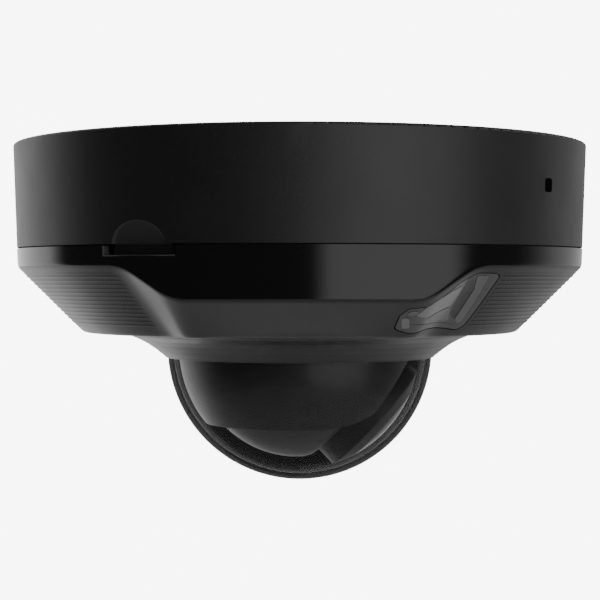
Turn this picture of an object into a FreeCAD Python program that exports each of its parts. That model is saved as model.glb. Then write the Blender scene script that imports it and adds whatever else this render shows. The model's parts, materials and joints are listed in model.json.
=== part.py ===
import FreeCAD, Part
import math
import os

# Dome camera that hangs from a ceiling. Units are millimetres. The origin is the centre of the
# ceiling face, +Z points up into the ceiling and +X is the way the camera faces.

Vec = FreeCAD.Vector

# Driving dimensions of the two outer casings
BODY_R = 75.0             # outer radius at the ceiling
PART_LINE_R = 74.08       # outer radius where the casings meet
PART_LINE_Z = -26.85      # middle of the parting gap
PART_GAP = 0.3
WALL = 3.0
WING_TOP_R = 73.67        # upper edge of the 45 degree wings
WING_TOP_Z = -31.9
BOTTOM_Z = -48.55         # flat underside of the cover
SIDE_TOP_Z = -39.6        # lower edge of the vertical sides between the wings
SIDE_CREASE_Y = 57.7      # straight crease along each underside, just outside the wings' lower edge
FACET_NORMAL = (0.633, 0.364, 0.683)
FACET_DISTANCE = 70.1     # facet planes' distance from the origin
SIDE_HALF_ANGLE = 38.0    # side blocks end inside the wings
COVER_WALL = 2.5
COLLAR_R = 44.8           # the dome ring's spigot in the cover's floor
GRILLE_HALF_ANGLE = 55.0  # textured panels, each side of the X axis
GRILLE_T = 1.2
GRILLE_TOP = 1.8          # plain margins above and below, down the flank
GRILLE_BOTTOM = 1.4
WINDOW_GAP = 0.25

# Cable side
PLATE_R = 66.0
PLATE_T = 2.5
WEB_TOP = -5.2
WEB_BOTTOM = -7.7
CABLE_HOLE_R = 14.0
SCREW_HOLE_R = 2.3
CEILING_PCD = 90.0
BOX_SPACING = 83.3        # screw spacing of a wall or ceiling box
STUD_CIRCLE_R = 52.0
STUD_R = 2.0
STUD_HEAD_R = 4.0
STUD_ANGLES = (-37.5, 82.5, 202.5)
TWIST = 20.0              # degrees from locked to free
GROMMET_BORE_R = 3.0

# Tool access
LOCK_HOLE_ANGLE = -37.5
LOCK_HOLE_Z = -12.4
LOCK_HOLE_W = 3.4
LOCK_HOLE_H = 3.3
LATCH_ANGLE = -119.8
LATCH_W = 20.0
LATCH_BOTTOM_Z = -29.5
LATCH_DEPTH = 2.2
SCOOP_R = 8.1
SCOOP_TOP_Z = -20.3
SCOOP_DEPTH = 2.0

# Dome, liner and camera ball
DOME_CENTRE_Z = -52.8
DOME_R = 35.03
DOME_WALL = 1.6
LINER_R = 32.0
LINER_WALL = 1.5
LINER_RIM_Z = -72.8
SLOT_R = 20.2             # round top of the liner's slot
SLOT_CENTRE_Z = -68.5
SLOT_FLARE = ((20.2, -68.4), (20.6, -69.6), (21.4, -70.6), (22.6, -71.7), (24.6, -72.9))
BALL = Vec(-0.7, 0, -55.0)
BALL_R = 26.9
BALL_WALL = 1.9
BALL_CUT = 20.4           # flat opening of the ball, from its centre
TILT_DOWN = 42.5          # lens below the horizon at rest, degrees
LENS_OFFSET = 1.7         # lens axis above the ball's centre
HOOD_R = 16.2
HOOD_FRONT_R = 16.6       # widest, where the hood's front cone starts
HOOD_WALL = 1.8
HOOD_END = 26.4
NOSE_R = 11.85            # the front glass's rim at the end of the cone
NOSE_END = 28.7
GLASS_BULGE = 2.2
PIN_R = 2.0
RUNNING = 0.05            # radial clearance of a running fit

# Moulding on the inside
BOARD_TOP = -12.5
BOARD_T = 1.6
BOARD_R = 46.0
JACK = (16.0, 21.3, 13.5)
JACK_X = -36.0
CHASSIS_TOP = -29.0
CHASSIS_BOTTOM = -31.5


def at(radius, angle, z=0.0):
    """The point at that radius and angle about Z."""
    turn = math.radians(angle)
    return Vec(radius * math.cos(turn), radius * math.sin(turn), z)


def revolve(outline):
    """A solid of revolution about Z from (radius, z) corners."""
    corners = [Vec(r, 0, z) for r, z in outline]
    face = Part.Face(Part.makePolygon(corners + corners[:1]))
    return face.revolve(Vec(0, 0, 0), Vec(0, 0, 1), 360)


def ring(inner, outer, top, bottom):
    return revolve([(inner, top), (outer, top), (outer, bottom), (inner, bottom)])


def disc(radius, top, bottom, centre=(0, 0)):
    return Part.makeCylinder(radius, top - bottom, Vec(centre[0], centre[1], bottom))


def box(width, depth, height, centre):
    """A block by its middle point."""
    corner = Vec(centre[0] - width / 2, centre[1] - depth / 2, centre[2] - height / 2)
    return Part.makeBox(width, depth, height, corner)


def ball(radius, centre):
    return Part.makeSphere(radius, centre)


def spin(shape, angle):
    """A copy turned about Z."""
    turned = shape.copy()
    turned.rotate(Vec(0, 0, 0), Vec(0, 0, 1), angle)
    return turned


def radial(shape, angle, radius, z):
    """Places a shape made with its outward direction along +X at that radius, angle and height."""
    placed = shape.copy()
    placed.translate(Vec(radius, 0, z))
    return spin(placed, angle)


def around(shape, angles):
    return [spin(shape, angle) for angle in angles]


def group(shapes):
    return Part.makeCompound(list(shapes))


def fuse(first, *others):
    return first.fuse(list(others)).removeSplitter()


def screw(thread_r, length, head_r, head_t, centre, head_z):
    """A pan head screw that points down from head_z, with a hexagon socket."""
    head = disc(head_r, head_z, head_z - head_t, centre)
    shank = disc(thread_r, head_z - head_t, head_z - head_t - length, centre)
    socket = Part.makePolygon([Vec(centre[0], centre[1], head_z) + at(head_r * 0.45, 60 * k) for k in range(7)])
    recess = Part.Face(socket).extrude(Vec(0, 0, -head_t * 0.6))
    return fuse(head, shank).cut(recess)


def lens_frame(shape):
    """Moves a shape made about the origin, with the lens looking along +Z, to its place in the ball."""
    placed = shape.copy()
    placed.rotate(Vec(0, 0, 0), Vec(0, 1, 0), 90 + TILT_DOWN)
    placed.translate(BALL)
    return placed


def lens_ring(inner, outer, front, back):
    """A ring about the lens axis, which lies LENS_OFFSET above the ball's centre."""
    shape = ring(inner, outer, front, back) if inner > 0 else disc(outer, front, back)
    shape.translate(Vec(-LENS_OFFSET, 0, 0))
    return shape


# ---- ceiling side ----

def keyhole():
    """Arc slot that a stud's head passes at one end and its shank follows to the other."""
    inner = STUD_CIRCLE_R - STUD_R - 0.4
    outer = STUD_CIRCLE_R + STUD_R + 0.4
    slab = ring(inner, outer, WEB_TOP + 1, WEB_BOTTOM - 1)
    face = Part.Face(Part.makePolygon([Vec(0, 0, -20), at(90, 0, -20), at(90, -TWIST, -20), Vec(0, 0, -20)]))
    arc = slab.common(face.extrude(Vec(0, 0, 20)))
    ends = [disc(STUD_R + 0.4, WEB_TOP + 1, WEB_BOTTOM - 1, at(STUD_CIRCLE_R, 0)[:2])]
    ends.append(disc(STUD_HEAD_R + 0.5, WEB_TOP + 1, WEB_BOTTOM - 1, at(STUD_CIRCLE_R, -TWIST)[:2]))
    return fuse(arc, *ends)


def mount_plate():
    plate = disc(PLATE_R, 0, -PLATE_T)
    holes = [disc(CABLE_HOLE_R, 1, -PLATE_T - 1)]
    for angle in (45, 135, 225, 315):
        holes.append(disc(SCREW_HOLE_R, 1, -PLATE_T - 1, at(CEILING_PCD / 2, angle)[:2]))
    for side in (-1, 1):
        holes.append(disc(SCREW_HOLE_R, 1, -PLATE_T - 1, (0, side * BOX_SPACING / 2)))
    rib = ring(56.0, 58.0, -PLATE_T, -PLATE_T - 1.0)
    return fuse(plate, rib).cut(group(holes))


def mount_studs():
    shank = disc(STUD_R, -PLATE_T, WEB_BOTTOM - 0.6, (STUD_CIRCLE_R, 0))
    head = disc(STUD_HEAD_R, WEB_BOTTOM - 0.6, -14.5, (STUD_CIRCLE_R, 0))
    head = head.makeChamfer(0.8, [e for e in head.Edges if abs(e.BoundBox.ZMax + 14.5) < 0.01])
    return group(around(fuse(shank, head), STUD_ANGLES))


def scoop():
    """Rounded hollow above the latch, deepest at the parting line."""
    lean = math.degrees(math.atan2(SCOOP_DEPTH, PART_LINE_Z - SCOOP_TOP_Z))
    tool = Part.makeCylinder(SCOOP_R, 12, Vec(0, 0, 0), Vec(1, 0, 0))
    tool = tool.makeFillet(1.2, [e for e in tool.Edges if e.BoundBox.XMax < 0.01])
    tool.rotate(Vec(0, 0, 0), Vec(0, 1, 0), lean)
    tool.translate(Vec(PART_LINE_R - SCOOP_DEPTH, 0, SCOOP_TOP_Z - SCOOP_R + 0.2))
    return spin(tool, LATCH_ANGLE)


def rounded_hole(width, height, corner, depth):
    """A square hole with round corners, cut along +X."""
    block = box(depth, width, height, (0, 0, 0))
    return block.makeFillet(corner, [e for e in block.Edges if abs(e.BoundBox.XLength - depth) < 0.01])


def base_housing():
    bottom = PART_LINE_Z + PART_GAP / 2
    shell = revolve([
        (BODY_R - WALL, 0), (BODY_R, 0), (PART_LINE_R, bottom), (PART_LINE_R - WALL + 0.5, bottom),
        (BODY_R - WALL - 0.4, WEB_BOTTOM), (8.0, WEB_BOTTOM), (8.0, WEB_TOP), (BODY_R - WALL, WEB_TOP)])
    edges = [e for e in shell.Edges if abs(e.BoundBox.ZMin) < 0.01 and e.BoundBox.XMax > BODY_R - 0.1]
    shell = shell.makeFillet(0.7, edges)
    posts = [disc(3.0, WEB_BOTTOM, BOARD_TOP, at(41.0, a)[:2]) for a in (25, 155, 205, 335)]
    posts += [disc(3.2, WEB_BOTTOM, CHASSIS_TOP, at(63.5, a)[:2]) for a in (20, 110, 160, 290)]
    lug = box(6.0, 8.0, 8.0, (61.0, 0, WEB_BOTTOM - 4.0))
    posts.append(spin(lug, LOCK_HOLE_ANGLE))
    shell = fuse(shell, *posts)
    cuts = around(keyhole(), STUD_ANGLES)
    cuts.append(radial(rounded_hole(LOCK_HOLE_W, LOCK_HOLE_H, 0.7, 12), LOCK_HOLE_ANGLE, 72.0, LOCK_HOLE_Z))
    bore = Part.makeCylinder(1.5, 12, Vec(56, 0, LOCK_HOLE_Z), Vec(1, 0, 0))
    cuts.append(spin(bore, LOCK_HOLE_ANGLE))
    cuts.append(scoop())
    # The latch's guide: a notch through the rim that its carrier slides in
    cuts.append(radial(box(9, LATCH_W - 1.0, 5.0, (0, 0, 0)), LATCH_ANGLE, 67.1, PART_LINE_Z + 0.6))
    return shell.cut(group(cuts))


def cable_grommet():
    outline = [
        (GROMMET_BORE_R, -3.2), (9.6, -3.2), (10.2, -3.8), (10.2, WEB_TOP), (8.0, WEB_TOP), (8.0, WEB_BOTTOM),
        (10.2, WEB_BOTTOM), (10.2, -8.6), (6.0, -11.4), (GROMMET_BORE_R, -11.4)]
    return revolve(outline)


def lock_screw():
    body = Part.makeCylinder(1.5, 8.0, Vec(56.4, 0, LOCK_HOLE_Z), Vec(1, 0, 0))
    hexagon = Part.makePolygon([Vec(64.5, 0.8 * math.cos(math.radians(60 * k)),
                                    LOCK_HOLE_Z + 0.8 * math.sin(math.radians(60 * k))) for k in range(7)])
    return spin(body.cut(Part.Face(hexagon).extrude(Vec(-2.6, 0, 0))), LOCK_HOLE_ANGLE)


# ---- electronics ----

BOARD_BOTTOM = BOARD_TOP - BOARD_T
BOARD_SCREW_ANGLES = (25, 155, 205, 335)
CHASSIS_SCREW_ANGLES = (20, 110, 160, 290)


def main_board():
    board = disc(BOARD_R, BOARD_TOP, BOARD_BOTTOM)
    holes = [disc(1.3, 0, -30, at(41.0, a)[:2]) for a in BOARD_SCREW_ANGLES]
    return board.cut(group(holes))


def board_screws():
    made = []
    for angle in BOARD_SCREW_ANGLES:
        spot = at(41.0, angle)
        head = disc(2.2, BOARD_BOTTOM, BOARD_BOTTOM - 1.5, spot[:2])
        made.append(fuse(head, disc(1.2, BOARD_TOP, BOARD_BOTTOM, spot[:2])))
    return group(made)


def ethernet_jack():
    width, length, height = JACK
    middle = (JACK_X, 0, BOARD_BOTTOM - height / 2)
    shell = box(width, length, height, middle)
    socket = box(11.9, 14.0, 7.0, (JACK_X, length / 2 - 7.0 + 0.01, middle[2] + 1.0))
    catch = box(5.0, 14.0, 2.4, (JACK_X, length / 2 - 7.0 + 0.01, middle[2] - 3.4))
    return shell.cut(socket).cut(catch)


def jack_contacts():
    z = BOARD_BOTTOM - JACK[2] / 2 + 3.2
    return group(box(0.4, 9.0, 0.5, (JACK_X - 3.57 + 1.02 * k, 1.2, z)) for k in range(8))


def memory_card_slot():
    body = box(14.0, 15.0, 2.0, (12.0, -32.0, BOARD_BOTTOM - 1.0))
    return body.cut(box(11.2, 15.0, 1.1, (12.0, -33.0, BOARD_BOTTOM - 1.0)))


def memory_card():
    return box(11.0, 14.0, 0.9, (12.0, -34.0, BOARD_BOTTOM - 1.0))


def processor_chip():
    return box(14.0, 14.0, 1.4, (-8.0, 24.0, BOARD_BOTTOM - 0.7))


def heat_pad():
    return box(12.0, 12.0, 1.0, (-8.0, 24.0, BOARD_BOTTOM - 1.9))


def heat_sink():
    base = box(24.0, 20.0, 1.6, (-8.0, 26.0, BOARD_BOTTOM - 3.2))
    fins = [box(24.0, 1.2, 4.0, (-8.0, 17.4 + 3.4 * k, BOARD_BOTTOM - 5.9)) for k in range(6)]
    return fuse(base, *fins)


def power_coils():
    spots = ((24, 22), (32, 12), (24, -16))
    return group(box(7.0, 7.0, 4.0, (x, y, BOARD_BOTTOM - 2.0)) for x, y in spots)


def capacitors():
    spots = ((34, -2), (34, -10), (-14, -34), (-5, -36))
    return group(disc(3.1, BOARD_BOTTOM, BOARD_BOTTOM - 7.7, spot) for spot in spots)


def reset_switch():
    body = box(6.0, 6.0, 3.0, (26.0, -26.0, BOARD_BOTTOM - 1.5))
    return body.cut(disc(1.75, 0, BOARD_BOTTOM - 5, (26.0, -26.0)).common(
        disc(3, BOARD_BOTTOM - 0.6, BOARD_BOTTOM - 5, (26.0, -26.0))))


def reset_button():
    return disc(1.7, BOARD_BOTTOM - 1.3, BOARD_BOTTOM - 4.6, (26.0, -26.0))


def chassis():
    plate = ring(31.0, 66.5, CHASSIS_TOP, CHASSIS_BOTTOM)
    plate = plate.cut(spin(box(16, 30, 10, (67, 0, -30)), LATCH_ANGLE))
    collar = ring(31.0, 33.2, CHASSIS_BOTTOM, -35.4)
    arms = [spin(box(6.0, 7.0, 6.0, (46.5, 0, CHASSIS_BOTTOM - 3.0)), side * 41.0) for side in (-1, 1)]
    holes = [disc(1.3, 0, -40, at(63.5, a)[:2]) for a in CHASSIS_SCREW_ANGLES]
    pockets = [disc(5.0, 0, -40, at(50.0, a)[:2]) for a in (0, 75, 95, 130, 230, 265, 285)]
    pockets += [disc(12.0, 0, -40, at(63.0, a)[:2]) for a in (-45, 45, 180)]
    return fuse(plate, collar).cut(group(holes + pockets)).fuse(arms)


def chassis_screws():
    made = []
    for angle in CHASSIS_SCREW_ANGLES:
        spot = at(63.5, angle)[:2]
        head = disc(2.4, CHASSIS_BOTTOM, CHASSIS_BOTTOM - 1.6, spot)
        made.append(fuse(head, disc(1.2, CHASSIS_TOP, CHASSIS_BOTTOM, spot)))
    return group(made)


# ---- cover ----

def wing_body(inset=0.0):
    """The round body with 45 degree flanks, drawn in by inset."""
    top = PART_LINE_Z - PART_GAP / 2
    slant = inset * (math.sqrt(2) - 1)
    outer = PART_LINE_R - inset
    shoulder_r = WING_TOP_R - inset
    floor = BOTTOM_Z + inset
    shoulder_z = WING_TOP_Z + slant
    end_r = shoulder_r - (shoulder_z - floor)
    return revolve([(0, top), (outer, top), (shoulder_r, shoulder_z), (end_r, floor), (0, floor)])


def side_block(inset=0.0):
    """The bulge between the wings: round sides above, narrowing to a straight crease below."""
    top = WING_TOP_Z + 3.0
    sections = []
    for step in range(-6, 7):
        lean = step * SIDE_HALF_ANGLE / 6
        crease = (SIDE_CREASE_Y - inset * 0.4) / math.cos(math.radians(lean))
        side = WING_TOP_R - inset - 0.1
        upper = SIDE_TOP_Z + inset * 0.7
        floor = BOTTOM_Z + inset
        corners = [(20, top), (side - 0.3, top), (side, upper), (crease, floor), (20, floor)]
        points = [at(r, lean - 90, z) for r, z in corners]
        sections.append(Part.makePolygon(points + points[:1]))
    return Part.makeLoft(sections, True, False)


def facet_space(inset=0.0):
    """Everything between the four slanting facets, for one side of the body."""
    space = box(300, 300, 300, (0, 0, 0))
    for side in (-1, 1):
        normal = Vec(side * FACET_NORMAL[0], -FACET_NORMAL[1], -FACET_NORMAL[2])
        normal.normalize()
        slab = Part.makeBox(600, 600, 300, Vec(-300, -300, 0))
        slab.Placement = FreeCAD.Placement(normal * (FACET_DISTANCE - inset),
                                           FreeCAD.Rotation(Vec(0, 0, 1), normal))
        space = space.cut(slab)
    return space


def cover_form(inset=0.0):
    """The cover's outer form, or its hollow when drawn in: one half on each side of the X axis."""
    side = side_block(inset).common(facet_space(inset))
    near = Part.makeBox(200, 100, 100, Vec(-100, -100, -80))
    half = wing_body(inset).common(near).fuse(side)
    return fuse(half, spin(half, 180))


def flank_slab(outer_inset, inner_inset, start, end, half_angle):
    """A piece of the 45 degree flank between two depths, start and end down the slope."""
    slope = math.sqrt(0.5)
    length = (WING_TOP_Z - BOTTOM_Z) / slope

    def corner(along, depth):
        return (WING_TOP_R - (along + depth) * slope, WING_TOP_Z - (along - depth) * slope)

    outline = [corner(start, outer_inset), corner(length - end, outer_inset),
               corner(length - end, inner_inset), corner(start, inner_inset)]
    corners = [Vec(r, 0, z) for r, z in outline]
    face = Part.Face(Part.makePolygon(corners + corners[:1]))
    face.rotate(Vec(0, 0, 0), Vec(0, 0, 1), -half_angle)
    return face.revolve(Vec(0, 0, 0), Vec(0, 0, 1), 2 * half_angle)


# Outline of a lamp window on the plane of its facet: across, towards the front, and up the slope
WINDOW_CORNERS = ((-19.2, -12.9), (-16.4, -12.4), (-11.2, -10.4), (0.9, -9.2), (2.3, -7.4), (1.0, -1.4),
                  (-1.8, 8.4), (-3.6, 8.9), (-9.2, 7.5), (-13.4, 4.0), (-18.6, -3.4), (-20.6, -4.1),
                  (-23.2, -5.6), (-22.6, -8.5))
WINDOW_MIDDLE = (42.5, -50.0, -40.5)


def facet_frame(middle, side):
    """A placement with +Z out of the facet at that side of the front, +X towards the front and +Y up the slope."""
    normal = Vec(FACET_NORMAL[0], -FACET_NORMAL[1], -FACET_NORMAL[2])
    normal.normalize()
    across = Vec(0, 0, 1).cross(normal)
    across.normalize()
    turn = FreeCAD.Rotation(across, normal.cross(across), normal, "ZXY")
    return FreeCAD.Placement(Vec(*middle), turn)


def window_prism(grow, side):
    """A prism through the cover at a front corner, with the window's outline moved out by grow."""
    corners = [Vec(x, y, -11) for x, y in WINDOW_CORNERS]
    wire = Part.makePolygon(corners + corners[:1])
    if grow:
        wire = wire.makeOffset2D(grow)
    prism = Part.Face(wire).extrude(Vec(0, 0, 17))
    prism.Placement = facet_frame(WINDOW_MIDDLE, side).multiply(prism.Placement)
    return prism if side < 0 else prism.mirror(Vec(0, 0, 0), Vec(0, 1, 0))


def latch_recess(extra=0.0):
    tool = box(LATCH_DEPTH + 8, LATCH_W + extra, 8.0, (4.0 - LATCH_DEPTH / 2, 0, LATCH_BOTTOM_Z + 4.0))
    return radial(tool, LATCH_ANGLE, PART_LINE_R - LATCH_DEPTH / 2, 0)


def cover_shell():
    opener = disc(PART_LINE_R - COVER_WALL, PART_LINE_Z + 1, PART_LINE_Z - 3)
    shell = cover_form().cut(fuse(cover_form(COVER_WALL), opener))
    cuts = [disc(COLLAR_R + 0.2, -40, BOTTOM_Z - 1)]
    seat = flank_slab(-1.0, GRILLE_T + 0.05, GRILLE_TOP, GRILLE_BOTTOM, GRILLE_HALF_ANGLE)
    cuts.append(spin(seat, 180))
    seat = seat.cut(group(window_prism(1.0, side) for side in (-1, 1)))
    cuts.append(max(seat.Solids, key=lambda solid: solid.Volume))
    for side in (-1, 1):
        cuts.append(window_prism(WINDOW_GAP, side))
    cuts.append(latch_recess())
    cuts.append(radial(box(7, LATCH_W - 2.0, 2.8, (0, 0, 0)), LATCH_ANGLE, 68.5, PART_LINE_Z - 1.25))
    hook = fuse(box(1.4, 8.0, 7.0, (70.5, 0, -26.5)), box(2.6, 8.0, 2.4, (71.1, 0, -28.8)))
    shell = shell.cut(group(cuts))
    return fuse(shell, *around(hook, (60, 180, 300)))


def rear_grille():
    panel = flank_slab(0.0, GRILLE_T, GRILLE_TOP + 0.1, GRILLE_BOTTOM + 0.1, GRILLE_HALF_ANGLE - 0.1)
    return spin(panel, 180)


def front_grille():
    panel = spin(rear_grille(), 180)
    panel = panel.cut(group(window_prism(1.15, side) for side in (-1, 1)))
    return max(panel.Solids, key=lambda solid: solid.Volume)


def lamp_window(side):
    """Smoky window that fills its opening, as thick as the cover."""
    thick = cover_form().cut(cover_form(1.8))
    pane = thick.common(window_prism(0, side))
    return max(pane.Solids, key=lambda solid: solid.Volume)


def cover_gasket():
    seal = ring(71.8, 73.0, PART_LINE_Z + PART_GAP / 2, PART_LINE_Z - PART_GAP / 2)
    return seal.cut(radial(box(12, LATCH_W + 0.4, 4, (0, 0, 0)), LATCH_ANGLE, 70.0, PART_LINE_Z))


def dome_ring():
    """Bezel that funnels down to the dome: a small concave cove and then a cone."""
    low = -55.35
    outline = [(35.35, -46.2), (COLLAR_R, -46.2), (COLLAR_R, BOTTOM_Z - 0.1), (47.6, BOTTOM_Z - 0.1)]
    outline += [(44.4, -49.75), (42.3, -50.6), (40.2, -51.75), (38.1, -53.2), (35.9, low + 0.45), (35.5, low)]
    outline += [(35.35, low)]
    body = revolve(outline)
    holes = [disc(1.2, -46.0, -49.0, at(42.8, a)[:2]) for a in range(30, 390, 60)]
    return body.cut(group(holes))


def dome_bubble():
    inner = DOME_R - DOME_WALL
    top = -43.6
    outer_skin = fuse(ball(DOME_R, Vec(0, 0, DOME_CENTRE_Z)).common(disc(60, DOME_CENTRE_Z, -100)),
                      disc(DOME_R, top, DOME_CENTRE_Z), disc(41.0, top, top - 1.8))
    hollow = fuse(ball(inner, Vec(0, 0, DOME_CENTRE_Z)).common(disc(60, DOME_CENTRE_Z, -100)),
                  disc(inner, top + 1, DOME_CENTRE_Z))
    return outer_skin.cut(hollow)


def dome_gasket():
    return ring(36.0, 40.6, -45.4, -46.2)


def dome_clamp():
    plate = ring(36.4, 46.0, -41.6, -43.6)
    skirt = ring(41.4, 44.4, -43.6, -46.2)
    holes = [disc(1.3, -40, -47, at(42.8, a)[:2]) for a in range(30, 390, 60)]
    return fuse(plate, skirt).cut(group(holes))


def dome_screws():
    return group(screw(1.15, 6.4, 2.1, 1.3, at(42.8, a)[:2], -40.3) for a in range(30, 390, 60))


# ---- lamps, sound ----

LAMP_MIDDLE = (42.6, -44.6, -39.0)


def lamp_place(shape, side):
    """Places a lamp part made with its light along +Z behind the window."""
    placed = shape.copy()
    placed.Placement = facet_frame(LAMP_MIDDLE, side).multiply(placed.Placement)
    return placed if side < 0 else placed.mirror(Vec(0, 0, 0), Vec(0, 1, 0))


LAMP_SPOTS = ((-3.6, 0.0), (3.6, 0.0))


def lamp_boards():
    board = Part.makeBox(17.0, 9.0, 1.2, Vec(-8.5, -4.5, -5.4))
    return group(lamp_place(board, side) for side in (-1, 1))


def lamps():
    made = []
    for side in (-1, 1):
        for x, y in LAMP_SPOTS:
            chip = Part.makeBox(3.4, 3.4, 0.9, Vec(x - 1.7, y - 1.7, -4.2))
            bead = Part.makeSphere(1.4, Vec(x, y, -3.3)).common(Part.makeCylinder(2, 3, Vec(x, y, -3.3)))
            made.append(lamp_place(fuse(chip, bead), side))
    return group(made)


def lamp_reflectors():
    made = []
    for side in (-1, 1):
        block = Part.makeBox(15.0, 7.6, 2.0, Vec(-7.5, -3.8, -2.9))
        cones = [Part.makeCone(2.0, 3.2, 2.6, Vec(x, y, -3.2)) for x, y in LAMP_SPOTS]
        made.append(lamp_place(block.cut(group(cones)), side))
    return group(made)


def speaker():
    body = Part.makeCylinder(9.0, 5.0, Vec(0, 0, -5.0))
    cone = Part.makeCone(3.0, 7.6, 2.4, Vec(0, 0, -2.4))
    place = FreeCAD.Placement(Vec(-59.4, 0, -39.4), FreeCAD.Rotation(Vec(0, 0, 1), Vec(-1, 0, -1)))
    made = body.cut(cone)
    made.Placement = place
    return made


def microphone():
    body = Part.makeCylinder(3.0, 2.2, Vec(0, 0, -2.2))
    body = body.cut(Part.makeCylinder(0.5, 1.0, Vec(0, 0, -0.9)))
    body.Placement = FreeCAD.Placement(Vec(60.0, 0, -40.5), FreeCAD.Rotation(Vec(0, 0, 1), Vec(1, 0, -1)))
    return body


# ---- latch ----

def latch():
    """Ribbed tongue in the cover's recess, on a carrier that slides inwards in the housing's rim."""
    face_r = PART_LINE_R - LATCH_DEPTH - 0.4
    tongue = box(1.6, LATCH_W - 3.0, 1.9, (face_r - 0.8, 0, -28.2))
    ribs = [box(0.5, LATCH_W - 4.4, 0.36, (face_r + 0.25, 0, -27.62 - 0.58 * k)) for k in range(3)]
    carrier = box(5.0, LATCH_W - 4.0, 1.6, (face_r - 4.1, 0, -26.5))
    neck = box(1.6, LATCH_W - 4.0, 1.7, (face_r - 0.8, 0, -26.5))
    return spin(fuse(tongue, carrier, neck, *ribs), LATCH_ANGLE)


# ---- pan, tilt and roll ----

def bearing_ring():
    """Ring under the chassis collar that keeps the turning ring up."""
    body = ring(33.6, 36.0, -36.9, -39.0)
    posts = [disc(1.6, CHASSIS_BOTTOM, -36.9, at(37.0, a)[:2]) for a in (60, 180, 300)]
    ears = [disc(2.6, -36.9, -39.0, at(37.0, a)[:2]) for a in (60, 180, 300)]
    cut = disc(33.6, -30, -45)
    return fuse(body, *posts, *ears).cut(cut)


def pan_ring():
    """Ring that turns on the collar. It carries the two arms and the liner."""
    return revolve([(28.4, -35.7), (34.8, -35.7), (34.8, -36.6), (33.3, -36.6), (33.3, -39.2), (28.4, -39.2)])


def yoke_arms():
    made = []
    for side in (-1, 1):
        middle_y = side * 28.6
        foot = Part.makeCylinder(4.5, 1.9, Vec(BALL.x, middle_y - 0.95, BALL.z), Vec(0, 1, 0))
        bore = Part.makeCylinder(PIN_R + RUNNING, 6, Vec(BALL.x, middle_y - 3, BALL.z), Vec(0, 1, 0))
        arm = fuse(box(9.0, 1.9, 15.8, (BALL.x, middle_y, -47.1)), foot)
        made.append(arm.cut(bore))
    return group(made)


def liner():
    """Black shroud inside the dome with a round-topped slot that the lens looks through."""
    inner = LINER_R - LINER_WALL
    centre = Vec(0, 0, DOME_CENTRE_Z)
    keep = disc(60, DOME_CENTRE_Z, LINER_RIM_Z)
    outer_skin = fuse(ball(LINER_R, centre).common(keep), disc(LINER_R, -39.2, DOME_CENTRE_Z))
    hollow = fuse(ball(inner, centre), disc(inner, -40.4, DOME_CENTRE_Z), disc(28.4, -39, -41))
    shell = outer_skin.cut(hollow)
    slot = Part.makeCylinder(SLOT_R, 60, Vec(0, 0, SLOT_CENTRE_Z), Vec(1, 0, 0))
    corners = [Vec(0, side * y, z) for side, line in ((1, SLOT_FLARE), (-1, SLOT_FLARE[::-1])) for y, z in line]
    lower = Part.Face(Part.makePolygon(corners + corners[:1])).extrude(Vec(60, 0, 0))
    arms = group(box(10.0, 2.6, 6, (BALL.x, side * 28.6, -40)) for side in (-1, 1))
    return shell.cut(group([slot, lower])).cut(arms)


def ring_hole():
    """The ball's round mouth about the hood's axis."""
    return Part.makeCylinder(HOOD_R + 0.35, 30, Vec(-LENS_OFFSET, 0, 12.4))


def half_ball(front):
    skin = ball(BALL_R, Vec(0, 0, 0)).cut(ball(BALL_R - BALL_WALL, Vec(0, 0, 0)))
    gap = 0.06
    if front:
        half = skin.common(Part.makeCylinder(40, BALL_CUT - gap, Vec(0, 0, gap)))
    else:
        half = skin.common(Part.makeCylinder(40, 40, Vec(0, 0, -40)))
    pins = Part.makeCylinder(PIN_R, 80, Vec(0, -40, 0), Vec(0, 1, 0))
    if front:
        half = half.cut(ring_hole())
    return half.cut(pins)


def ball_front():
    return lens_frame(half_ball(True))


def ball_rear():
    return lens_frame(half_ball(False))


def tilt_pins():
    return group(Part.makeCylinder(PIN_R, 5.6, Vec(BALL.x, side * 27.1 - 2.8, BALL.z), Vec(0, 1, 0))
                 for side in (-1, 1))


def roll_ring():
    """Ring fixed in the ball, in which the lens module turns."""
    body = lens_ring(HOOD_R + RUNNING, 18.0, 12.4, 9.6)
    return lens_frame(body.common(ball(BALL_R - BALL_WALL - 0.05, Vec(0, 0, 0))))


def lens_hood():
    """Barrel that flares a little and then closes in a cone to the front glass."""
    inner = HOOD_R - HOOD_WALL
    outline = [(6.4, 4.0), (HOOD_R, 4.0), (HOOD_R, BALL_CUT), (HOOD_FRONT_R, HOOD_END), (NOSE_R, NOSE_END),
               (NOSE_R, 26.9), (10.6, 26.9), (10.6, 25.8), (inner, 24.4), (inner, 5.8), (6.4, 5.8)]
    body = revolve(outline)
    body.translate(Vec(-LENS_OFFSET, 0, 0))
    return lens_frame(body)


def front_glass():
    """Convex front window of the lens module."""
    rim = NOSE_R - 0.03
    radius = (rim * rim + GLASS_BULGE * GLASS_BULGE) / (2 * GLASS_BULGE)
    cap = ball(radius, Vec(-LENS_OFFSET, 0, NOSE_END + GLASS_BULGE - radius))
    skin = cap.common(lens_ring(0, rim, NOSE_END + 10, NOSE_END))
    return lens_frame(fuse(skin, lens_ring(0, rim, NOSE_END, 26.9)))


def lens_tube():
    outline = [(3.2, 19.5), (7.6, 19.5), (7.6, 14.0), (8.6, 14.0), (8.6, 9.0), (6.2, 9.0), (6.2, -3.0), (4.6, -3.0),
               (4.6, 12.0), (3.2, 12.0)]
    body = revolve(outline)
    body.translate(Vec(-LENS_OFFSET, 0, 0))
    return lens_frame(body)


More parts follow.
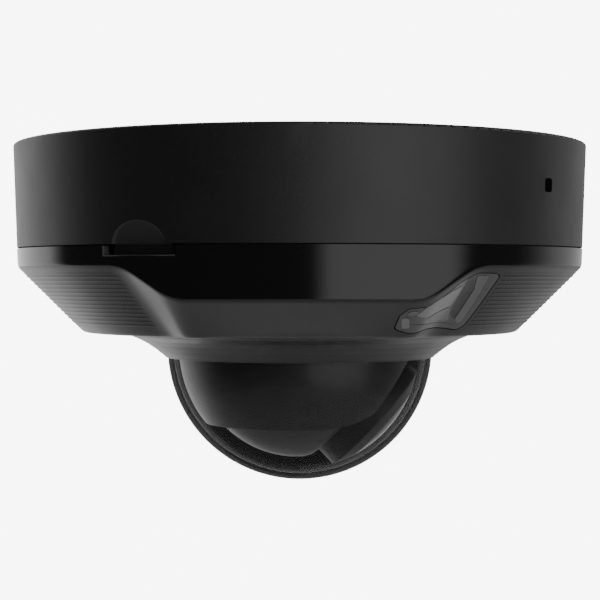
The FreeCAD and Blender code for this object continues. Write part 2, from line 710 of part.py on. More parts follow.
def lens_elements():
    front = Part.makeSphere(6.5, Vec(-LENS_OFFSET, 0, 16.2)).common(lens_ring(0, 5.2, 24, 19.6))
    rear = lens_ring(0, 4.5, -0.5, -2.4)
    middle = lens_ring(0, 3.1, 15.0, 12.5)
    return group(lens_frame(part) for part in (front, middle, rear))


def sensor_board():
    return lens_frame(Part.makeBox(28, 28, 1.4, Vec(-14 - LENS_OFFSET, -14, -11.4)))


def image_sensor():
    return lens_frame(Part.makeBox(9.6, 8.4, 1.2, Vec(-4.8 - LENS_OFFSET, -4.2, -10.0)))


def lens_mount():
    """Holder between the board and the lens tube, with the filter's guide across it."""
    body = Part.makeBox(24, 18, 6.8, Vec(-12 - LENS_OFFSET, -9, -10.0))
    well = Part.makeBox(11, 10, 3.0, Vec(-5.5 - LENS_OFFSET, -5, -10.0))
    light = Part.makeCylinder(4.7, 10, Vec(-LENS_OFFSET, 0, -7.2))
    guide = Part.makeBox(20.4, 12.4, 1.8, Vec(-14.0 - LENS_OFFSET, -6.2, -6.2))
    return lens_frame(body.cut(group([well, light, guide])))


def filter_coil():
    return lens_frame(Part.makeCylinder(3.2, 6.0, Vec(-11.0 - LENS_OFFSET, 0, -3.1)))


def filter_carrier():
    """Slide with the day filter in the light path. It leaves the path through the open end of its guide."""
    body = Part.makeBox(11.2, 12.0, 1.5, Vec(-5.6 - LENS_OFFSET, -6.0, -6.05))
    opening = Part.makeBox(8.0, 8.0, 3.0, Vec(-4.0 - LENS_OFFSET, -4.0, -7.0))
    return lens_frame(body.cut(opening))


def filter_glass():
    return lens_frame(Part.makeBox(7.96, 7.96, 0.6, Vec(-3.98 - LENS_OFFSET, -3.98, -5.6)))


NODES = {
    "mount_plate": mount_plate,
    "mount_studs": mount_studs,
    "base_housing": base_housing,
    "cable_grommet": cable_grommet,
    "lock_screw": lock_screw,
    "main_board": main_board,
    "board_screws": board_screws,
    "ethernet_jack": ethernet_jack,
    "jack_contacts": jack_contacts,
    "memory_card_slot": memory_card_slot,
    "memory_card": memory_card,
    "processor_chip": processor_chip,
    "heat_pad": heat_pad,
    "heat_sink": heat_sink,
    "power_coils": power_coils,
    "capacitors": capacitors,
    "reset_switch": reset_switch,
    "reset_button": reset_button,
    "chassis": chassis,
    "chassis_screws": chassis_screws,
    "cover_shell": cover_shell,
    "front_grille": front_grille,
    "rear_grille": rear_grille,
    "lamp_window_right": lambda: lamp_window(-1),
    "lamp_window_left": lambda: lamp_window(1),
    "cover_gasket": cover_gasket,
    "dome_ring": dome_ring,
    "dome_bubble": dome_bubble,
    "dome_gasket": dome_gasket,
    "dome_clamp": dome_clamp,
    "dome_screws": dome_screws,
    "lamp_boards": lamp_boards,
    "lamps": lamps,
    "lamp_reflectors": lamp_reflectors,
    "speaker": speaker,
    "microphone": microphone,
    "cover_latch": latch,
    "bearing_ring": bearing_ring,
    "pan_ring": pan_ring,
    "yoke_arms": yoke_arms,
    "liner": liner,
    "ball_front": ball_front,
    "ball_rear": ball_rear,
    "tilt_pins": tilt_pins,
    "roll_ring": roll_ring,
    "lens_hood": lens_hood,
    "front_glass": front_glass,
    "lens_tube": lens_tube,
    "lens_elements": lens_elements,
    "sensor_board": sensor_board,
    "image_sensor": image_sensor,
    "lens_mount": lens_mount,
    "filter_coil": filter_coil,
    "filter_carrier": filter_carrier,
    "filter_glass": filter_glass,
}

os.makedirs("parts", exist_ok=True)
for name, make in NODES.items():
    shape = make()
    print(name, len(shape.Solids), round(shape.Volume, 1), shape.isValid())
    shape.exportStep("parts/" + name + ".step")
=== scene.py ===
"""Looks of the ceiling dome camera: casings, textured flanks, smoked dome, camera ball, studio."""
import json
import math

import bpy
import bmesh
import numpy as np
from mathutils import Matrix, Vector


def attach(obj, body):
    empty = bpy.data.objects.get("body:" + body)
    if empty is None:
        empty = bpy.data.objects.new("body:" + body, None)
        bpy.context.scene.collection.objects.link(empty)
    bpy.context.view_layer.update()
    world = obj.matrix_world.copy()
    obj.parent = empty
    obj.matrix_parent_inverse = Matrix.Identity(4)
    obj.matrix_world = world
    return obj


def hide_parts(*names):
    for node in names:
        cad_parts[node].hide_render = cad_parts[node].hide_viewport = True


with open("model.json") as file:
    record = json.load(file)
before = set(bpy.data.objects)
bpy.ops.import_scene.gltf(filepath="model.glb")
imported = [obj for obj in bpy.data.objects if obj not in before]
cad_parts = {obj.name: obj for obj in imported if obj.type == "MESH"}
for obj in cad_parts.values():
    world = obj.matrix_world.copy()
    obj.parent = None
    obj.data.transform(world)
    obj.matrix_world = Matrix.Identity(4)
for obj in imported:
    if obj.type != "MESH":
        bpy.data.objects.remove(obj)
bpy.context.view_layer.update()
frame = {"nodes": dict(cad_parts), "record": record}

MM = 0.001                     # shapes below are written in millimetres

# Sizes of the casings, the same as the solids'
BODY_R = 75.0
PART_R = 74.08
PART_Z = -26.85
HALF_GAP = 0.15
TAPER = (BODY_R - PART_R) / -PART_Z
WING_R = 73.67
WING_Z = -31.9
BOTTOM_Z = -48.55
SIDE_Z = -39.6
CREASE_Y = 57.0
FACET = (0.633, 0.364, 0.683)  # the slanting facets' outward direction, sideways, forwards and down
FACET_DISTANCE = 70.1
HOLE_R = 47.75
LATCH_ANGLE = -119.8
LATCH_W = 20.0
LATCH_DEPTH = 2.2
LATCH_LOW = -29.5
LATCH_RIB_TOP, LATCH_RIB_PITCH = -27.62, 0.58
SCOOP_R = 8.1                  # rounded hollow above the latch
SCOOP_TOP = -20.3
SCOOP_DEPTH = 2.0
SCOOP_TOOL = 12.0
DOME_Z = -52.8
DOME_R = 35.03
DOME_WALL = 1.6
LINER_R = 32.0
LINER_WALL = 1.5
LINER_RIM = -72.8
SLOT_R = 20.2                  # the liner's opening for the lens
SLOT_FLARE = ((20.18, -68.4), (20.6, -69.6), (21.4, -70.6), (22.6, -71.7), (24.6, -72.9))
SLOT_Z = -68.5
SLOT_LENGTH = 60.0
BALL_AT = Vector((-0.7, 0, -55.0))
BALL_R = 26.9
BALL_WALL = 1.9
BALL_CUT = 20.4                # flat front of the ball
TILT_DOWN = 42.5
LENS_OFFSET = 1.7
HOOD_R = 16.2
HOOD_FRONT_R = 16.6
HOOD_END = 26.4
HOOD_WALL = 1.8
SEAT_Z = 26.9                  # where the front glass rests
NOSE_R = 11.85
NOSE_END = 28.7
GLASS_BULGE = 2.2
WINDOW = ((-19.2, -12.9), (-16.4, -12.4), (-11.2, -10.4), (0.9, -9.2), (2.3, -7.4), (1.0, -1.4),
          (-1.8, 8.4), (-3.6, 8.9), (-9.2, 7.5), (-13.4, 4.0), (-18.6, -3.4), (-20.6, -4.1),
          (-23.2, -5.6), (-22.6, -8.5))
WINDOW_AT = Vector((42.5, -50.0, -40.5))


# ---- camera and studio ----

CAMERA_AT = Vector((0, -428.3, -34.2))
CAMERA_LENS = 96.59
CAMERA_DOWN = 0.825            # degrees below level

def make_camera():
    """A long lens in front, level with the cover and looking down by less than a degree."""
    data = bpy.data.cameras.new("camera")
    data.sensor_width = 36.0
    data.lens = CAMERA_LENS
    data.shift_x = 0.0005
    data.clip_start = 0.01
    camera = bpy.data.objects.new("camera", data)
    camera.location = CAMERA_AT * MM
    camera.rotation_euler = (math.radians(90 - CAMERA_DOWN), 0, 0)
    bpy.context.scene.collection.objects.link(camera)
    bpy.context.scene.camera = camera


def node(tree, kind, **values):
    made = tree.nodes.new(kind)
    for key, value in values.items():
        if key in made.inputs:
            made.inputs[key].default_value = value
        else:
            setattr(made, key, value)
    return made


def math_node(tree, operation, first, second=0.0):
    made = tree.nodes.new("ShaderNodeMath")
    made.operation = operation
    for socket, value in zip(made.inputs, (first, second)):
        if isinstance(value, (int, float)):
            socket.default_value = value
        else:
            tree.links.new(value, socket)
    return made.outputs[0]


def ramp(tree, value, low, high):
    """0 below low, 1 above high, smooth between."""
    made = tree.nodes.new("ShaderNodeMapRange")
    made.interpolation_type = "SMOOTHSTEP"
    made.inputs["From Min"].default_value = low
    made.inputs["From Max"].default_value = high
    tree.links.new(value, made.inputs["Value"])
    return made.outputs["Result"]


# The studio's light, by azimuth in degrees from straight ahead of the object (-Y) towards +X,
# and by height as the sine of the angle above level. Each pair is the two ends of a soft edge.
KEY_NEAR, KEY_FAR, KEY_TOP = (4.0, 13.0), (59.0, 71.0), (0.45, 0.75)
KEY_LIGHT = 1.65               # big soft panel, front right
LEFT_EDGE, LEFT_LIGHT = (-119.0, -105.0), 1.95      # bright wall, left and behind
RIGHT_EDGE, RIGHT_LIGHT = (92.0, 124.0), 0.78       # the same wall's darker end, right and behind
FLOOR_EDGE, FLOOR_LIGHT = (-0.80, -0.45), 0.33      # from below
DIM_LIGHT = 0.075              # everywhere else
WHITE = 10.0                   # what the camera sees behind the object
ROOM = 0.012                   # what it sees there through the dome
STUDIO_FLOOR_R, STUDIO_FLOOR_Z = 1.5, -0.95         # in metres


def make_world():
    """White to look at. Its light is a soft panel, a white wall behind and a dim room in front."""
    world = bpy.data.worlds.new("studio")
    bpy.context.scene.world = world
    world.use_nodes = True
    tree = world.node_tree
    tree.nodes.clear()
    place = node(tree, "ShaderNodeTexCoord")
    split = node(tree, "ShaderNodeSeparateXYZ")
    tree.links.new(place.outputs["Generated"], split.inputs[0])
    x, y, z = split.outputs
    turn = math_node(tree, "ARCTAN2", x, math_node(tree, "MULTIPLY", y, -1.0))
    azimuth = math_node(tree, "MULTIPLY", turn, 180 / math.pi)
    right = ramp(tree, azimuth, *RIGHT_EDGE)
    left = math_node(tree, "SUBTRACT", 1.0, ramp(tree, azimuth, *LEFT_EDGE))
    key = math_node(tree, "MULTIPLY", ramp(tree, azimuth, *KEY_NEAR),
                    math_node(tree, "SUBTRACT", 1.0, ramp(tree, azimuth, *KEY_FAR)))
    height = math_node(tree, "ABSOLUTE", z, 0)
    key_height = math_node(tree, "SUBTRACT", 1.0, ramp(tree, height, *KEY_TOP))
    light = math_node(tree, "MULTIPLY", math_node(tree, "MULTIPLY", key, key_height), KEY_LIGHT)
    light = math_node(tree, "ADD", light, math_node(tree, "MULTIPLY", left, LEFT_LIGHT))
    light = math_node(tree, "ADD", light, math_node(tree, "MULTIPLY", right, RIGHT_LIGHT))
    light = math_node(tree, "ADD", light, DIM_LIGHT)
    low = math_node(tree, "SUBTRACT", 1.0, ramp(tree, z, *FLOOR_EDGE))
    kept = math_node(tree, "MULTIPLY", light, math_node(tree, "SUBTRACT", 1.0, low))
    light = math_node(tree, "ADD", kept, math_node(tree, "MULTIPLY", low, FLOOR_LIGHT))
    glow = node(tree, "ShaderNodeBackground")
    tree.links.new(light, glow.inputs["Strength"])
    seen = node(tree, "ShaderNodeBackground", Strength=WHITE)
    path = node(tree, "ShaderNodeLightPath")
    through = math_node(tree, "MINIMUM", path.outputs["Transparent Depth"], 1.0)
    shown = node(tree, "ShaderNodeMixShader")
    room = node(tree, "ShaderNodeBackground", Strength=ROOM)
    tree.links.new(through, shown.inputs[0])
    tree.links.new(seen.outputs[0], shown.inputs[1])
    tree.links.new(room.outputs[0], shown.inputs[2])
    mix = node(tree, "ShaderNodeMixShader")
    tree.links.new(path.outputs["Is Camera Ray"], mix.inputs[0])
    tree.links.new(glow.outputs[0], mix.inputs[1])
    tree.links.new(shown.outputs[0], mix.inputs[2])
    out = node(tree, "ShaderNodeOutputWorld")
    tree.links.new(mix.outputs[0], out.inputs[0])


def make_floor():
    """A pale round floor well below the hanging object."""
    mesh = bpy.data.meshes.new("floor")
    form = bmesh.new()
    bmesh.ops.create_circle(form, cap_ends=True, segments=96, radius=STUDIO_FLOOR_R)
    form.to_mesh(mesh)
    form.free()
    floor = bpy.data.objects.new("floor", mesh)
    floor.location = (0, 0, STUDIO_FLOOR_Z)
    bpy.context.scene.collection.objects.link(floor)
    paint = bpy.data.materials.new("floor")
    paint.use_nodes = True
    shader = paint.node_tree.nodes["Principled BSDF"]
    shader.inputs["Base Color"].default_value = (0.8, 0.8, 0.8, 1)
    shader.inputs["Roughness"].default_value = 0.8
    mesh.materials.append(paint)


# ---- materials ----

CLOUD_SCALE = 90.0             # mottling, per metre
COAT_ROUGHNESS = 0.08
GRAIN_DEPTH = 0.05


def surface(name, color, roughness, grain=0.0, grain_size=0.3, mottle=0.0, rough_vary=0.05,
            coat=0.0, metallic=0.0, specular=0.5):
    """Moulded or coated surface: fine grain in the bump, colour and roughness slightly mottled."""
    paint = bpy.data.materials.new(name)
    paint.use_nodes = True
    tree = paint.node_tree
    shader = tree.nodes["Principled BSDF"]
    shader.inputs["Metallic"].default_value = metallic
    shader.inputs["Specular IOR Level"].default_value = specular
    shader.inputs["Coat Weight"].default_value = coat
    shader.inputs["Coat Roughness"].default_value = COAT_ROUGHNESS
    place = node(tree, "ShaderNodeTexCoord")
    cloud = node(tree, "ShaderNodeTexNoise", Scale=CLOUD_SCALE, Detail=3.0)
    tree.links.new(place.outputs["Object"], cloud.inputs["Vector"])
    shader.inputs["Base Color"].default_value = (*color, 1)
    if mottle:
        mix = node(tree, "ShaderNodeMix", data_type="RGBA")
        tree.links.new(cloud.outputs["Fac"], mix.inputs["Factor"])
        mix.inputs["A"].default_value = (*[c * (1 - mottle) for c in color], 1)
        mix.inputs["B"].default_value = (*[c * (1 + mottle) for c in color], 1)
        tree.links.new(mix.outputs["Result"], shader.inputs["Base Color"])
    rough = node(tree, "ShaderNodeMapRange")
    rough.inputs["To Min"].default_value = roughness - rough_vary
    rough.inputs["To Max"].default_value = roughness + rough_vary
    tree.links.new(cloud.outputs["Fac"], rough.inputs["Value"])
    tree.links.new(rough.outputs["Result"], shader.inputs["Roughness"])
    if grain:
        fine = node(tree, "ShaderNodeTexNoise", Scale=1.0 / (grain_size * MM), Detail=2.0,
                    Roughness=0.6)
        tree.links.new(place.outputs["Object"], fine.inputs["Vector"])
        bump = node(tree, "ShaderNodeBump", Strength=grain, Distance=GRAIN_DEPTH * MM)
        tree.links.new(fine.outputs["Fac"], bump.inputs["Height"])
        tree.links.new(bump.outputs["Normal"], shader.inputs["Normal"])
    return paint


def clear(name, color, roughness=0.02, ior=1.49, grain=0.0):
    """Clear or smoked plastic and glass."""
    paint = surface(name, color, roughness, grain=grain, grain_size=0.6, mottle=0.03,
                    rough_vary=0.01)
    shader = paint.node_tree.nodes["Principled BSDF"]
    shader.inputs["Transmission Weight"].default_value = 1.0
    shader.inputs["IOR"].default_value = ior
    return paint


def shell(name, smoke, roughness, gloss, edge_gloss, power):
    """Thin clear plastic that doesn't bend light and reflects more towards its edge.

    smoke is the share of light that each skin takes.
    """
    paint = surface(name, (1, 1, 1), roughness, rough_vary=0.005, metallic=1.0)
    tree = paint.node_tree
    shader = tree.nodes["Principled BSDF"]
    edge = node(tree, "ShaderNodeLayerWeight", Blend=0.5)
    grazing = math_node(tree, "POWER", edge.outputs["Facing"], power)
    rise = math_node(tree, "MULTIPLY", grazing, edge_gloss)
    mirror = math_node(tree, "ADD", rise, gloss)
    cover = math_node(tree, "MINIMUM", math_node(tree, "ADD", mirror, smoke), 1.0)
    share = math_node(tree, "DIVIDE", mirror, cover)
    tint = node(tree, "ShaderNodeCombineColor")
    for socket in tint.inputs:
        tree.links.new(share, socket)
    tree.links.new(tint.outputs[0], shader.inputs["Base Color"])
    tree.links.new(cover, shader.inputs["Alpha"])
    return paint


def make_materials():
    dark = (0.010, 0.010, 0.0104)
    return {
        "housing": surface("housing_powder_coat", dark, 0.47, specular=0.62, grain=0.35,
                           grain_size=0.35, mottle=0.12),
        "cover": surface("cover_gloss", (0.0055, 0.0055, 0.0057), 0.13, grain=0.02, grain_size=0.9,
                         rough_vary=0.015),
        "satin": surface("cover_satin", (0.012, 0.012, 0.0124), 0.36, grain=0.12, grain_size=0.25,
                         mottle=0.08),
        "grille": surface("grille_satin", (0.016, 0.016, 0.0165), 0.36, grain=0.08, grain_size=0.25,
                          mottle=0.1),
        "ring": surface("ring_satin", (0.012, 0.012, 0.0124), 0.36, grain=0.1, grain_size=0.25,
                        mottle=0.08),
        "dome": shell("dome_polycarbonate", 0.02, 0.05, gloss=0.003, edge_gloss=0.03, power=6.0),
        "lamp_window": surface("lamp_window_smoked", (0.045, 0.045, 0.045), 0.28, grain=0.04,
                               grain_size=0.6, mottle=0.1, coat=0.2),
        "latch": surface("latch_moulded", (0.03, 0.03, 0.03), 0.4, grain=0.1, mottle=0.1),
        "liner": surface("liner_dull", (0.014, 0.014, 0.014), 0.45, specular=0.4, grain=0.1,
                         grain_size=0.3, mottle=0.1),
        "ball": surface("ball_satin", (0.03, 0.03, 0.0305), 0.5, specular=0.42, grain=0.1,
                        grain_size=0.3, mottle=0.08),
        "lens_hood": surface("hood_satin", (0.016, 0.016, 0.016), 0.58, specular=0.35, grain=0.1,
                             grain_size=0.3, mottle=0.08),
        "front_glass": shell("front_window_glass", 0.5, 0.16, gloss=0.01, edge_gloss=0.035,
                             power=3.0),
        "lens_tube": surface("lens_tube_anodised", (0.012, 0.012, 0.012), 0.35, grain=0.05,
                             mottle=0.1),
        "optics": clear("lens_coated_glass", (0.75, 0.72, 0.95), 0.01, 1.6),
        "sensor": surface("sensor_glass", (0.03, 0.035, 0.03), 0.1, mottle=0.2, coat=0.8),
        "filter": clear("day_filter_glass", (0.45, 0.8, 0.82), 0.01, 1.5),
        "lamp": surface("lamp_lens", (0.62, 0.62, 0.58), 0.16, mottle=0.05, coat=0.5),
        "reflector": surface("reflector_bright", (0.30, 0.30, 0.30), 0.3, grain=0.02, mottle=0.06),
        "black_plastic": surface("moulded_black", (0.013, 0.013, 0.013), 0.45, grain=0.15,
                                 mottle=0.15),
        "rubber": surface("black_rubber", (0.015, 0.015, 0.015), 0.75, grain=0.25, grain_size=0.2,
                          mottle=0.2),
        "circuit_board": surface("solder_mask", (0.008, 0.06, 0.028), 0.3, grain=0.05, mottle=0.25,
                                 coat=0.3),
        "bare_metal": surface("plated_sheet", (0.62, 0.62, 0.6), 0.34, grain=0.05, mottle=0.05,
                              metallic=1.0),
        "cast_metal": surface("die_cast_aluminium", (0.42, 0.42, 0.43), 0.5, grain=0.3, mottle=0.1,
                              metallic=1.0),
        "steel": surface("zinc_plated_steel", (0.5, 0.5, 0.48), 0.28, grain=0.03, mottle=0.08,
                         metallic=1.0),
        "gold": surface("gold_plate", (0.9, 0.62, 0.25), 0.2, mottle=0.03, metallic=1.0),
        "copper": surface("enamelled_copper", (0.72, 0.33, 0.16), 0.3, grain=0.2, mottle=0.1,
                          metallic=1.0),
    }


# ---- mesh helpers ----

def add(name, verts, faces, paint, sharp=32.0):
    """A new object from millimetre points, shaded smooth with sharp edges kept."""
    mesh = bpy.data.meshes.new(name)
    mesh.from_pydata([tuple(np.asarray(v, float) * MM) for v in verts], [], faces)
    mesh.validate()
    made = bpy.data.objects.new(name, mesh)
    bpy.context.scene.collection.objects.link(made)
    finish_mesh(made, sharp)
    mesh.materials.append(paint)
    return made


def finish_mesh(piece, sharp=32.0):
    """Joins doubled points, turns the faces outwards and shades smooth between sharp edges."""
    form = bmesh.new()
    form.from_mesh(piece.data)
    bmesh.ops.remove_doubles(form, verts=form.verts, dist=0.002 * MM)
    bmesh.ops.recalc_face_normals(form, faces=form.faces)
    form.to_mesh(piece.data)
    form.free()
    piece.data.shade_smooth()
    piece.data.set_sharp_from_angle(angle=math.radians(sharp))


def rounded(corners, steps=5):
    """A closed outline from (r, z, fillet) corners, each fillet an arc."""
    line = []
    count = len(corners)
    for k, (r, z, fillet) in enumerate(corners):
        here = Vector((r, z))
        if fillet <= 0:
            line.append(here)
            continue
        before = Vector(corners[k - 1][:2]) - here
        after = Vector(corners[(k + 1) % count][:2]) - here
        angle = before.angle(after)
        reach = min(fillet / math.tan(angle / 2), before.length * 0.49, after.length * 0.49)
        radius = reach * math.tan(angle / 2)
        inwards = (before.normalized() + after.normalized()).normalized()
        middle = here + inwards * (radius / math.sin(angle / 2))
        start = here + before.normalized() * reach - middle
        end = here + after.normalized() * reach - middle
        sweep = start.angle_signed(end)
        for step in range(steps + 1):
            turn = -sweep * step / steps
            c, s = math.cos(turn), math.sin(turn)
            line.append(middle + Vector((start.x * c - start.y * s, start.x * s + start.y * c)))
    return [(p.x, p.y) for p in line]


def lathe(name, outline, paint, segments=192, sharp=32.0):
    """A solid of revolution about Z from a closed (r, z) outline. Points on the axis close it."""
    angles = np.arange(segments) * 2 * np.pi / segments
    verts, faces = [], []
    for r, z in outline:
        verts += [(r * math.cos(a), r * math.sin(a), z) for a in angles]
    rows = len(outline)
    for i in range(rows):
        n = (i + 1) % rows
        if outline[i][0] < 1e-6 and outline[n][0] < 1e-6:
            continue
        for j in range(segments):
            k = (j + 1) % segments
            faces.append((i * segments + j, i * segments + k,
                          n * segments + k, n * segments + j))
    return add(name, verts, faces, paint, sharp)


def block(width, depth, height, middle, turn=0.0, bevel=0.0):
    """A bevelled box as a cutter or small piece, turned about Z."""
    form = bmesh.new()
    bmesh.ops.create_cube(form, size=1.0)
    bmesh.ops.scale(form, vec=(width, depth, height), verts=form.verts)
    if bevel:
        bmesh.ops.bevel(form, geom=form.edges[:], offset=bevel, segments=4, profile=0.5,
                        affect="EDGES")
    bmesh.ops.translate(form, vec=middle, verts=form.verts)
    bmesh.ops.rotate(form, matrix=Matrix.Rotation(math.radians(turn), 3, "Z"), verts=form.verts)
    bmesh.ops.scale(form, vec=(MM, MM, MM), verts=form.verts)
    return form


def rod(radius, length, segments):
    """A round bar about Z, its middle at the origin."""
    form = bmesh.new()
    bmesh.ops.create_cone(form, cap_ends=True, segments=segments, radius1=radius, radius2=radius,
                          depth=length)
    return form


def lay_along_x(form):
    bmesh.ops.rotate(form, matrix=Matrix.Rotation(math.radians(90), 3, "Y"), verts=form.verts)


def cutter_at(form, middle):
    """Moves a form made in millimetres and turns it into an object in metres."""
    bmesh.ops.translate(form, vec=middle, verts=form.verts)
    bmesh.ops.scale(form, vec=(MM, MM, MM), verts=form.verts)
    return as_object(form)


def as_object(form, name="cutter"):
    mesh = bpy.data.meshes.new(name)
    form.to_mesh(mesh)
    form.free()
    made = bpy.data.objects.new(name, mesh)
    bpy.context.scene.collection.objects.link(made)
    return made


def carve(piece, cutters, operation="DIFFERENCE", sharp=32.0):
    """Applies exact booleans and removes the cutters."""
    for cutter in cutters:
        change = piece.modifiers.new("cut", "BOOLEAN")
        change.operation = operation
        change.solver = "EXACT"
        change.object = cutter
    graph = bpy.context.evaluated_depsgraph_get()
    mesh = bpy.data.meshes.new_from_object(piece.evaluated_get(graph))
    piece.modifiers.clear()
    piece.data = mesh
    for cutter in cutters:
        bpy.data.objects.remove(cutter)
    form = bmesh.new()
    form.from_mesh(mesh)
    bmesh.ops.remove_doubles(form, verts=form.verts, dist=0.001 * MM)
    form.to_mesh(mesh)
    form.free()
    mesh.shade_smooth()
    mesh.set_sharp_from_angle(angle=math.radians(sharp))
    return piece


def place(piece, body, slot, *nodes):
    """Rides the piece on its body and hides the solids that it stands for."""
    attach(piece, body)
    if nodes:
        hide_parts(*nodes)
    return piece


# ---- the cover's form ----

COVER_WALL = 2.4
PANE_WALL = 1.6
WINDOW_GAP = 0.32
FLANK_BLEND, WING_BLEND, FLOOR_BLEND = 2.6, 1.8, 0.7
EDGE_SOFTNESS = 0.62           # spread of the smoothing where the band turns under
CREASE_END, FACET_END = 50.0, 46.0          # in degrees from the nearer of +Y and -Y


def soft_max(a, b, k):
    """The larger of a and b, with a rounded change over that is k wide."""
    return np.maximum(a, b) + np.maximum(k - np.abs(a - b), 0) ** 2 / (4 * k)


def soft_min(a, b, k):
    return -soft_max(-a, -b, k)


def underside(x, y):
    """Height of the cover's underside: 45 degree wings, side blocks, slanting facets between."""
    x, y = np.abs(x), np.abs(y)
    r = np.hypot(x, y)
    lean = np.minimum(np.arctan2(x, y), math.radians(CREASE_END))
    crease = CREASE_Y / np.cos(lean)
    wing = WING_Z - (WING_R - r)
    side = SIDE_Z - (WING_R - r) * (SIDE_Z - BOTTOM_Z) / np.maximum(WING_R - crease, 4.0)
    side = np.minimum(side, SIDE_Z + (r - WING_R) * 0.4 + 6 * (r > WING_R))
    facet = (FACET[0] * x + FACET[1] * y - FACET_DISTANCE) / FACET[2]
    facet = np.where(np.arctan2(x, y) > math.radians(FACET_END), wing + 8, facet)
    flank = soft_max(side, facet, FLANK_BLEND)
    form = soft_min(wing, flank, WING_BLEND)
    return soft_max(form, np.full_like(form, BOTTOM_Z), FLOOR_BLEND)


def outer_radius(z):
    return PART_R - TAPER * (PART_Z - z)


def cover_columns(angles):
    """For each azimuth the cover's outer line, from the parting line down and in to the ring."""
    band_steps, floor_steps, fine = 60, 420, 900
    columns = []
    for angle in angles:
        c, s = math.cos(angle), math.sin(angle)
        edge = SIDE_Z
        for _ in range(12):
            r = outer_radius(edge)
            edge = 0.5 * edge + 0.5 * float(underside(np.array([r * c]), np.array([r * s]))[0])
        top = PART_Z - HALF_GAP
        z_band = np.linspace(top, edge, band_steps)
        r_band = outer_radius(z_band)
        r_floor = np.linspace(r_band[-1], HOLE_R, floor_steps)[1:]
        z_floor = np.minimum(underside(r_floor * c, r_floor * s), edge)
        r_line = np.concatenate([r_band, r_floor])
        z_line = np.concatenate([z_band, z_floor])
        run = np.concatenate([[0], np.cumsum(np.hypot(np.diff(r_line), np.diff(z_line)))])
        even = np.linspace(0, run[-1], fine)
        r_even, z_even = np.interp(even, run, r_line), np.interp(even, run, z_line)
        step = even[1]
        corner = run[band_steps - 1]
        reach = int(4 * EDGE_SOFTNESS / step)
        kernel = np.exp(-0.5 * (np.arange(-reach, reach + 1) * step / EDGE_SOFTNESS) ** 2)
        kernel /= kernel.sum()
        r_soft, z_soft = [
            np.convolve(np.pad(v, reach, mode="reflect", reflect_type="odd"), kernel, "valid")
            for v in (r_even, z_even)]
        near = np.clip(1.6 - np.abs(even - corner) / 3.0, 0, 1)
        r_even = r_even + (r_soft - r_even) * near
        z_even = z_even + (z_soft - z_even) * near
        where = np.concatenate([
            [0, 0.25], np.linspace(0.8, corner - 2.2, 7), corner + np.linspace(-1.8, 2.2, 15),
            np.linspace(corner + 2.7, run[-1], 56)])
        columns.append((np.interp(where, even, r_even), np.interp(where, even, z_even)))
    return columns


def column_angles():
    """Azimuths of the mesh columns, closer together where the facets are."""
    angles = []
    for quarter in range(4):
        for k in range(90):
            angles.append(quarter * 90 + k)
            if 12 <= (90 - k if quarter % 2 else k) <= 44:
                angles.append(quarter * 90 + k + 0.5)
    return np.radians(sorted(set(angles)))


def facet_frame(side):
    """Matrix from the lamp window's plane to the object, for the right (-1) or left (1) side."""
    normal = Vector((FACET[0], -FACET[1], -FACET[2])).normalized()
    across = Vector((0, 0, 1)).cross(normal).normalized()
    turn = Matrix((across, normal.cross(across), normal)).transposed().to_4x4()
    whole = Matrix.Translation(WINDOW_AT) @ turn
    return whole if side < 0 else Matrix.Diagonal((1, -1, 1, 1)) @ whole


def window_line(grow):
    """The window's outline with rounded corners, moved out by grow."""
    corners = [Vector(p) for p in WINDOW]
    count = len(corners)
    moved = []
    for k in range(count):
        before = (corners[k] - corners[k - 1]).normalized()
        after = (corners[(k + 1) % count] - corners[k]).normalized()
        out_a, out_b = Vector((before.y, -before.x)), Vector((after.y, -after.x))
        out = (out_a + out_b).normalized()
        moved.append(corners[k] + out * grow / max(out.dot(out_a), 0.5))
    return rounded([(p.x, p.y, 1.1 + grow) for p in moved], 4)


def window_prism(grow, side, low=-11.0, high=6.0):
    """A cutter with the window's outline, across the cover's wall."""
    line = window_line(grow)
    form = bmesh.new()
    rings = []
    for z in (low, high):
        rings.append([form.verts.new(Vector((x, y, z))) for x, y in line])
    form.faces.new(rings[0])
    form.faces.new(rings[1])
    count = len(line)
    for k in range(count):
        n = (k + 1) % count
        form.faces.new((rings[0][k], rings[0][n], rings[1][n], rings[1][k]))
    form.transform(Matrix.Scale(MM, 4) @ facet_frame(side))
    bmesh.ops.recalc_face_normals(form, faces=form.faces)
    return as_object(form)


def cover_solid(name, paint, wall):
    """The cover as a closed shell, wall thick, with a sheer top lip."""
    angles = column_angles()
    columns = cover_columns(angles)
    rows = len(columns[0][0])
    verts, faces = [], []
    for angle, (r, z) in zip(angles, columns):
        dr, dz = np.gradient(r), np.gradient(z)
        size = np.hypot(dr, dz)
        inner_r = np.minimum(r + dz / size * wall, outer_radius(z) - wall)
        inner_z = np.minimum(z - dr / size * wall, PART_Z - HALF_GAP)
        inner_z[0] = inner_z[1] = PART_Z - HALF_GAP
        inner_r[-1] = HOLE_R
        line = list(zip(r, z)) + list(zip(inner_r[::-1], inner_z[::-1]))
        verts += [(q * math.cos(angle), q * math.sin(angle), h) for q, h in line]
    loop, count = 2 * rows, len(angles)
    for i in range(count):
        n = (i + 1) % count
        for j in range(loop):
            k = (j + 1) % loop
            faces.append((i * loop + j, i * loop + k, n * loop + k, n * loop + j))
    return add(name, verts, faces, paint)


